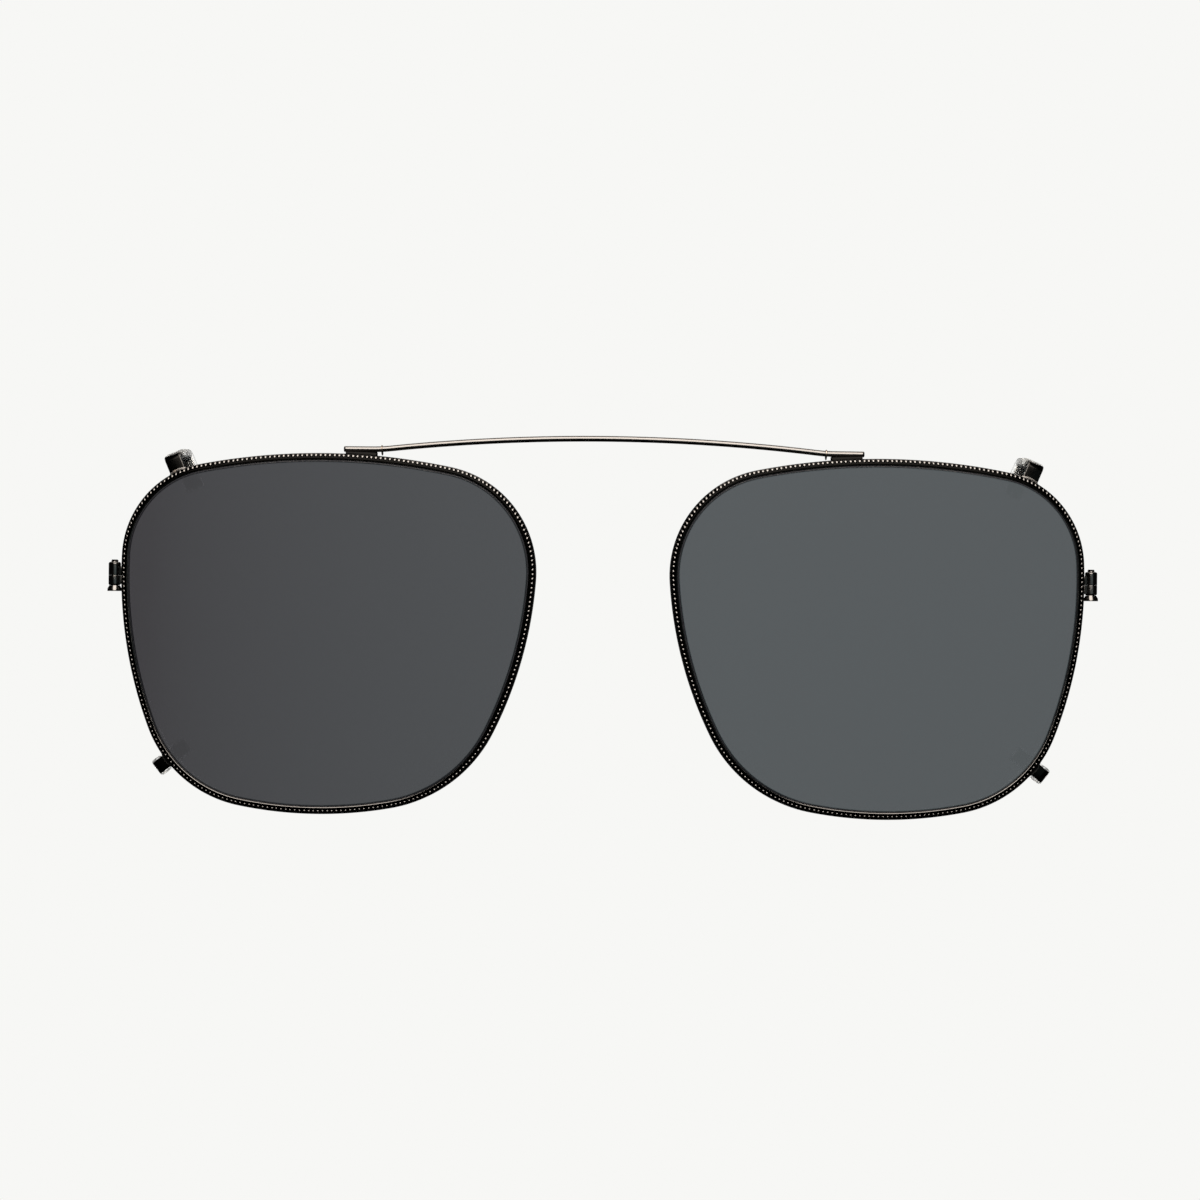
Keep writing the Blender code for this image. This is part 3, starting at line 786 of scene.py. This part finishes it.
def wire_line(sizes, rim, steps=120):
    """The right half of the bridge wire's middle line, from the middle to the cut end.

    The slope grows evenly from the middle to the root and fades out into the flat foot. Seen from
    above, the wire turns evenly from square-on to the rim's own plane at the root.
    """
    end = EYE_CENTRE - sizes.end * math.cos(WRAP)
    root = EYE_CENTRE - sizes.root * math.cos(WRAP)
    fade = sizes.bend / 2
    x = np.linspace(0, end, steps)
    slope = np.where(x < root - fade, x / root, np.clip((root + fade - x) / sizes.bend, 0, 1))
    turn = math.tan(WRAP) * np.minimum(x / root, 1)
    drop = np.concatenate([[0], np.cumsum((slope[1:] + slope[:-1]) / 2 * np.diff(x))])
    back = np.concatenate([[0], np.cumsum((turn[1:] + turn[:-1]) / 2 * np.diff(x))])
    z = rim.eye_height / 2 + sizes.lift + sizes.radius + sizes.rise * (1 - drop / drop[-1])
    return np.column_stack([x, back - back[-1] - sizes.end * math.sin(WRAP), z])


def across_line(points):
    """Along a line that runs mostly sideways, level and square to it, and over it."""
    along = np.gradient(points, axis=0)
    along /= np.linalg.norm(along, axis=1)[:, None]
    over = np.array([0, 0, 1]) - along * along[:, 2:]
    over /= np.linalg.norm(over, axis=1)[:, None]
    return along, np.cross(along, over), over


def wire_half(sizes, rim, side):
    """Half of the bridge: circles square to its middle line, drawn in at the cut end."""
    line = wire_line(sizes, rim)
    along, level, over = across_line(line)
    radius = np.full(len(line), sizes.radius)
    cut = 0.06 * MM
    line = np.vstack([line[:-1], line[-1] - along[-1] * cut, line[-1]])
    radius = np.concatenate([radius[:-1], [sizes.radius, sizes.radius - cut]])
    level, over = (np.vstack([v[:-1], v[-1], v[-1]]) for v in (level, over))
    a = np.linspace(0, 2 * np.pi, 28, endpoint=False)[:, None]
    ring = np.cos(a) * level[:, None] + np.sin(a) * over[:, None]
    points = (line[:, None] + radius[:, None, None] * ring) * np.array([side, 1, 1])
    ends = np.abs(points[..., 0]) > line[-1, 0] - 0.1 * MM
    return surface(points, capped=True, accent=0.5 * ends)


def wire_loop(sizes, rim, side):
    """A thin loop round the bridge at its root: a ring of round wire, drawn out below.

    Its middle line is r (sin a, cos a), with the half where cos a < 0 stretched down by the drop.
    """
    line = wire_line(sizes, rim, 600)
    root = EYE_CENTRE - sizes.root * math.cos(WRAP)
    at = int(np.searchsorted(line[:, 0], root))
    along, level, over = (v[at] for v in across_line(line))
    bore = sizes.radius + 0.015 * MM + sizes.loop_wire
    a = np.linspace(0, 2 * np.pi, 48, endpoint=False)[:, None]
    b = np.linspace(0, 2 * np.pi, 12, endpoint=False)
    up = np.cos(a)
    outwards = bore + sizes.loop_wire * np.cos(b)
    across = outwards * np.sin(a)
    height = outwards * up + sizes.loop_drop * np.minimum(up, 0)
    sideways = sizes.loop_wire * np.sin(b) * 1.4
    points = line[at] + (
        sideways[..., None] * along + across[..., None] * level + height[..., None] * over
    )
    return surface(points * np.array([side, 1, 1]), wrap_rows=True, accent=0.4)


def foot_braze(sizes, rim, outline, side):
    """The braze under a foot: concave on both sides, from the rim's top up into the wire."""
    inwards = np.linspace(sizes.end + sizes.radius * 0.6, sizes.braze_end, 26)
    heading = np.array([outline.heading_where(-x, 0, 330, 359.9) for x in inwards])
    floor = outline.edge(heading, -rim.wall_inset - 0.05 * MM)[1][:, None]
    top = rim.eye_height / 2 + sizes.lift + sizes.radius * 0.8
    share = np.linspace(0, 1, 9)
    half = sizes.braze_width / 2 * (1 - 0.45 * np.sin(share * np.pi) ** 0.7 - 0.25 * share)
    taper = np.sqrt(np.clip((inwards[-1] - inwards) / (0.35 * MM) + 0.04, 0, 1))[:, None]
    height = floor + (top - floor) * share * (0.35 + 0.65 * taper)
    half = half * (0.5 + 0.5 * taper)
    d = np.concatenate([half, -half[:, ::-1]], axis=1)
    v = np.concatenate([height, height[:, ::-1]], axis=1)
    # Painted shade: the braze under the wire's foot is darkened nearly to black.
    return surface(place(side, -inwards[:, None], d, v), capped=True, accent=-0.97)


def hook_line(sizes, rim, reach, start, tip, steps=14):
    """(depth, height, angle) along a prong's middle line.

    The strip rises behind the rim, turns a quarter back, runs straight and turns a quarter in.
    start is None for the whole strip, or the depth on the back run where the line begins.
    """
    foot = rim.depth / 2 + sizes.gap + sizes.thickness / 2
    finger = foot + sizes.thickness + sizes.throat + sizes.wall + sizes.clearance
    top = reach - sizes.thickness / 2
    a = np.linspace(0, np.pi / 2, steps)
    rise = np.column_stack(
        [foot + sizes.bend * (1 - np.cos(a)), top - sizes.bend * (1 - np.sin(a)), np.pi / 2 - a]
    )
    fall = np.column_stack(
        [finger - sizes.bend * (1 - np.sin(a)), top - sizes.bend * (1 - np.cos(a)), -a]
    )
    if start is None:
        first = np.vstack([[foot, -sizes.foot, np.pi / 2], rise])
    else:
        first = np.array([[start, top, 0]])
    return np.vstack([first, fall, [finger, tip, -np.pi / 2]])


def strip(sizes, rim, side, outline, prong, line, section, shrink=1.0):
    """A section of (across, thick) points carried along a prong's line, as world points.

    At an angle a of the line, thick moves a point by (-sin a, cos a) in depth and height. The
    strip moves along the rim by its turn's tangent for each length that it runs back.
    """
    base, lean, _, _, sweep = prong
    lean = math.radians(lean)
    across, thick = section[:, 0], section[:, 1]
    depth, height, turn = (line[:, i : i + 1] for i in range(3))
    shrink = np.broadcast_to(shrink, len(line))[:, None]
    foot = rim.depth / 2 + sizes.gap + sizes.thickness / 2
    t = across * shrink + math.tan(math.radians(sweep)) * (depth - foot)
    d = depth - thick * shrink * np.sin(turn)
    h = height + thick * shrink * np.cos(turn)
    u, v = outline.edge(np.radians(base))
    cos, sin = math.cos(lean), math.sin(lean)
    return place(side, u + t * cos + h * sin, d, v - t * sin + h * cos)


def bar_section(width, thickness, ease, steps=5):
    w, t = width / 2, thickness / 2
    return eased([(w, t, ease), (-w, t, ease), (-w, -t, ease), (w, -t, ease)], steps)


def rounded_tip(line, length_, steps=6):
    """The line with its last stretch divided, and the share to which each ring is drawn in there.

    Within the last length the share is the quarter circle sqrt(1 - s^2), from s = 0 to nearly 1.
    """
    s = np.sin(np.linspace(0, np.pi / 2 * 0.93, steps))
    last = line[-1]
    straight = (line[-2, :2] - last[:2]) / np.linalg.norm(line[-2, :2] - last[:2])
    back = last[:2] + straight * length_ * (1 - s[:, None])
    tip = np.column_stack([back, np.full(steps, last[2])])
    share = np.concatenate([np.ones(len(line) - 1), np.sqrt(1 - s**2)])
    return np.vstack([line[:-1], tip]), share


def prong_strip(sizes, rim, side, outline, prong):
    """The bare metal strip of a prong."""
    line = hook_line(sizes, rim, prong[2], None, -sizes.hook)
    line, share = rounded_tip(line, 0.15 * MM)
    section = bar_section(prong[3], sizes.thickness, 0.09 * MM)
    points = strip(sizes, rim, side, outline, prong, line, section, share)
    # Painted shade: the strip's flat faces are darkened nearly to black so that they mirror no
    # light; its rounded corners keep more of the plating's sheen.
    inside = np.array([prong[3], sizes.thickness]) / 2 - np.abs(section)
    corner = np.all(inside < 0.06 * MM, axis=1)
    shade = np.where(corner, -0.2, -0.93) * np.ones((len(line), 1))
    return surface(points, capped=True, accent=shade)


def prong_sleeve(sizes, rim, side, outline, prong):
    """The clear sleeve: a tube over the hook with a round tip, open at its mouth."""
    mouth = rim.depth / 2 + sizes.cover
    tip = -sizes.hook - sizes.clearance
    room, wall = 2 * sizes.clearance, 2 * sizes.wall
    inside = hook_line(sizes, rim, prong[2], mouth, tip)
    outside, share = rounded_tip(
        hook_line(sizes, rim, prong[2], mouth, tip - sizes.wall * 1.15), 0.34 * MM
    )
    thick = sizes.thickness + room
    cavity = strip(
        sizes, rim, side, outline, prong, inside, bar_section(prong[3] + room, thick, 0.1 * MM)
    )
    skin = bar_section(prong[3] + room + wall, thick + wall, 0.42 * MM)
    body = strip(sizes, rim, side, outline, prong, outside, skin, share)
    return surface(np.concatenate([cavity[::-1], body]), capped=True)


def prong_braze(sizes, rim, side, outline, prong):
    """The braze in front of a prong: a concave fillet on the rim's edge, thickest in its middle."""
    base, lean = math.radians(prong[0]), math.radians(prong[1])
    radius = rim.corner_radii[0] if lean < np.pi / 2 else rim.corner_radii[1]
    share = np.linspace(-1, 1, 25)[:, None]
    heading = base + share * sizes.fillet_width / 2 / radius
    thick = sizes.fillet * (1 - share**2) ** 0.6 + 0.03 * MM
    back, sunk = rim.depth / 2 + 0.01 * MM, -rim.wall_inset - 0.06 * MM
    t = np.linspace(0, np.pi / 2, 8)
    offset = np.concatenate([0 * t[:1], 1 - np.sin(t)])
    depth = np.concatenate([0 * t[:1], 1 - np.cos(t)])
    offset = np.where(np.arange(9) == 0, sunk, sunk + (thick - sunk) * offset)
    depth = back - thick * 1.1 * depth
    u, v = outline.edge(heading, offset)
    shade = 0.34 * (1 - share**2) - 0.1 * np.ones_like(offset)
    return surface(place(side, u, depth, v), capped=True, accent=shade)


def sized():
    """The scene's size groups and the outline."""
    scene = bpy.context.scene
    return scene, scene.clip_rim, Outline(scene.clip_rim)


class CLIP_OT_rims(Operator):
    """Makes both rims and their rows of beads"""

    bl_idname = "clip.rims"
    bl_label = "Rims"

    def execute(self, context):
        _, rim, outline = sized()
        for word, side in SIDES.items():
            ring, row = eyewire(rim, outline, side), beads(rim, outline, side)
            side_piece(word, "eyewire", [ring], "antique_black", ["rim"])
            side_piece(word, "bead_row", [row], "antique_black", sharp=80.0)
        return {"FINISHED"}


class CLIP_OT_lenses(Operator):
    """Makes both lenses"""

    bl_idname = "clip.lenses"
    bl_label = "Lenses"

    def execute(self, context):
        scene, rim, outline = sized()
        for word, side in SIDES.items():
            plate = lens(scene.clip_lens, rim, outline, side)
            side_piece(word, "smoke_lens", [plate], "smoke_lens", ["lens"], sharp=20.0)
        return {"FINISHED"}


class CLIP_OT_blocks(Operator):
    """Makes both closing blocks and their screws"""

    bl_idname = "clip.blocks"
    bl_label = "Closing blocks"

    def execute(self, context):
        scene, rim, outline = sized()
        sizes = scene.clip_block
        axis = in_eye(JOINTS["right_rim_screw_turn"]["pos_m"])
        reach = outline.edge(block_heading(outline))[0] - rim.wall_inset * 2
        for word, side in SIDES.items():
            for level, up in (("upper", 1), ("lower", -1)):
                half = barrel(sizes, rim, side, axis, reach, up)
                side_piece(word, f"{level}_block", half, "antique_black", [f"{level}_barrel"])
            screw = closing_screw(sizes, rim, side, axis)
            side_piece(
                word, "closing_screw", screw, "antique_black", ["rim_screw"], "screw", sharp=30.0
            )
        return {"FINISHED"}


class CLIP_OT_bridge(Operator):
    """Makes the wire bridge in two halves, with its loops and the braze under its feet"""

    bl_idname = "clip.bridge"
    bl_label = "Bridge"

    def execute(self, context):
        scene, rim, outline = sized()
        bridge = scene.clip_bridge
        for word, side in SIDES.items():
            half = new_piece(
                f"{word}_wire_half",
                [wire_half(bridge, rim, side)],
                "antique_black",
                ["bridge_wire"],
                sharp=50.0,
            )
            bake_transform(half)
            loop = wire_loop(bridge, rim, side)
            side_piece(word, "wire_loop", [loop], "antique_black", ["bridge_collar"])
            braze = foot_braze(bridge, rim, outline, side)
            side_piece(
                word, "foot_braze", [braze], "antique_black", ["bridge_braze"], sharp=60.0
            )
        return {"FINISHED"}


class CLIP_OT_prongs(Operator):
    """Makes the four prongs with their sleeves and their braze"""

    bl_idname = "clip.prongs"
    bl_label = "Prongs"

    def execute(self, context):
        scene, rim, outline = sized()
        makes = (
            ("hook", "prong", prong_strip, "antique_black"),
            ("clear_tip", "sleeve", prong_sleeve, "clear_silicone"),
            ("hook_braze", "prong_braze", prong_braze, "rose_bronze"),
        )
        for word, side in SIDES.items():
            for level, prong in PRONGS.items():
                for piece, replaced, make, slot in makes:
                    shape = make(scene.clip_prong, rim, side, outline, prong)
                    nodes = [f"{level}_{replaced}"]
                    side_piece(word, f"{level}_{piece}", [shape], slot, nodes, sharp=50.0)
        return {"FINISHED"}


def sweep_material(finishes):
    """Pale sweep, lit so evenly that it looks the same all over."""
    made, tree, shader = material("pale_sweep")
    feed(tree, shader, {"Base Color": BLACK, "Roughness": 1.0, "Specular IOR Level": 0.0})
    feed(tree, shader, {"Emission Color": (*finishes.backdrop, 1), "Emission Strength": 1.0})
    return made


def card_material(finishes):
    """Card that is dark at its left end and lighter to the right.

    Its glow is the full glow times the square root of the share of the way to its light end.
    """
    dark_end, light_end, full_glow = -0.272, 0.158, 1.38
    made, tree, shader = material("graded_card")
    where = node(tree, "ShaderNodeTexCoord").outputs["Object"]
    split = node(tree, "ShaderNodeSeparateXYZ", {"Vector": where})
    share = stretched(tree, split.outputs["X"], dark_end, light_end)
    glow = maths(tree, "MULTIPLY", maths(tree, "POWER", share, 0.5), full_glow)
    feed(tree, shader, {"Base Color": BLACK, "Emission Color": (*finishes.card, 1)})
    feed(tree, shader, {"Emission Strength": glow})
    return made


def sheet(name, x, y, z, finish):
    """A sheet of the stage through a grid of points."""
    points = np.stack(np.broadcast_arrays(x, y, z), axis=-1)
    mesh = bpy.data.meshes.new(name)
    vertices, faces, _ = surface(points, wrap_columns=False)
    mesh.from_pydata(vertices, [], faces[0])
    mesh.shade_smooth()
    mesh.materials.append(finish)
    made = bpy.data.objects.new(name, mesh)
    bpy.context.scene.collection.objects.link(made)
    return made


def sweep(stage, finish):
    """Floor and back wall as one sheet: straight runs joined by a quarter circle."""
    near, far, bend, high, half = -1.5, 0.7, 0.6, 1.8, 2.2
    a = np.linspace(0, np.pi / 2, 24)
    y = np.concatenate([[near], far + bend * np.sin(a), [far + bend]])
    z = np.concatenate([[0], bend * (1 - np.cos(a)), [high]]) - stage.floor
    made = sheet("sweep", np.array([-half, half]), y[:, None], z[:, None], finish)
    made.visible_glossy = False


def card(finish):
    """An upright sheet in front, which only reflections and light meet."""
    left, right, low, high, away = -0.45, 0.5, -0.12, 0.1, -0.8
    made = sheet("card", np.array([left, right]), away, np.array([[low], [high]]), finish)
    made.visible_camera = False


def area_light(name, place_at, size, watts, tint):
    """A rectangular light that faces the origin."""
    data = bpy.data.lights.new(name, "AREA")
    data.shape = "RECTANGLE"
    data.size, data.size_y = size
    data.energy = watts
    data.color = tint
    made = bpy.data.objects.new(name, data)
    made.location = place_at
    made.rotation_euler = (-Vector(place_at)).to_track_quat("-Z", "Y").to_euler()
    made.visible_camera = False
    bpy.context.scene.collection.objects.link(made)


def surroundings(finishes):
    """World: as pale as the sweep, but dark where polished surfaces mirror it."""
    world = bpy.data.worlds.new("studio")
    bpy.context.scene.world = world
    world.use_nodes = True
    tree = world.node_tree
    pale = tree.nodes["Background"]
    feed(tree, pale, {"Color": (*finishes.backdrop, 1), "Strength": 0.95})
    dark = node(tree, "ShaderNodeBackground", {"Color": (1, 1, 1, 1), "Strength": 0.03})
    ray = node(tree, "ShaderNodeLightPath").outputs
    mirrored = maths(
        tree, "SUBTRACT", ray["Is Glossy Ray"], ray["Transmission Depth"], clamp=True
    )
    choice = {0: mirrored, 1: pale.outputs[0], 2: dark.outputs[0]}
    chosen = node(tree, "ShaderNodeMixShader", choice).outputs[0]
    feed(tree, tree.nodes["World Output"], {"Surface": chosen})


class CLIP_OT_stage(Operator):
    """Makes the pale sweep, the soft lights and the camera"""

    bl_idname = "clip.stage"
    bl_label = "Stage"

    def execute(self, context):
        scene = context.scene
        stage, finishes = scene.clip_stage, scene.clip_finish
        sweep(stage, sweep_material(finishes))
        card(card_material(finishes))
        surroundings(finishes)
        for light in LIGHTS:
            area_light(*light)
        data = bpy.data.cameras.new("camera")
        data.sensor_width = 36.0
        data.lens = data.sensor_width * stage.camera_distance / stage.picture_width
        data.clip_start = 0.01
        camera = bpy.data.objects.new("camera", data)
        camera.location = (stage.camera_side, -stage.camera_distance, stage.camera_height)
        camera.rotation_euler = (math.pi / 2, -stage.camera_roll, 0)
        scene.collection.objects.link(camera)
        scene.camera = camera
        scene.view_settings.view_transform = "Standard"
        return {"FINISHED"}


class CLIP_PT_panel(Panel):
    """Lists the pieces of the clip-on lenses"""

    bl_idname = "CLIP_PT_panel"
    bl_label = "Clip-on Sun Lenses"
    bl_space_type = "VIEW_3D"
    bl_region_type = "UI"
    bl_category = "Clip-on"

    def draw(self, context):
        for operator in OPERATORS:
            self.layout.operator(operator.bl_idname)
        for name in SIZE_GROUPS:
            box = self.layout.box()
            group = getattr(context.scene, name)
            for key in group.bl_rna.properties.keys():
                if key not in ("rna_type", "name"):
                    box.prop(group, key)


OPERATORS = (
    CLIP_OT_rims,
    CLIP_OT_lenses,
    CLIP_OT_blocks,
    CLIP_OT_bridge,
    CLIP_OT_prongs,
    CLIP_OT_stage,
)
SIZE_GROUPS = {
    "clip_rim": RimSizes,
    "clip_lens": LensSizes,
    "clip_block": BlockSizes,
    "clip_bridge": BridgeSizes,
    "clip_prong": ProngSizes,
    "clip_finish": Finishes,
    "clip_stage": StageSizes,
}


def register():
    for made in (*SIZE_GROUPS.values(), *OPERATORS, CLIP_PT_panel):
        bpy.utils.register_class(made)
    for name, group in SIZE_GROUPS.items():
        setattr(bpy.types.Scene, name, PointerProperty(type=group))


def unregister():
    for name in SIZE_GROUPS:
        delattr(bpy.types.Scene, name)
    for made in (CLIP_PT_panel, *reversed(OPERATORS), *SIZE_GROUPS.values()):
        bpy.utils.unregister_class(made)


def main():
    register()
    for operator in OPERATORS:
        getattr(bpy.ops.clip, operator.bl_idname.split(".")[1])()


if __name__ == "__main__":
    main()
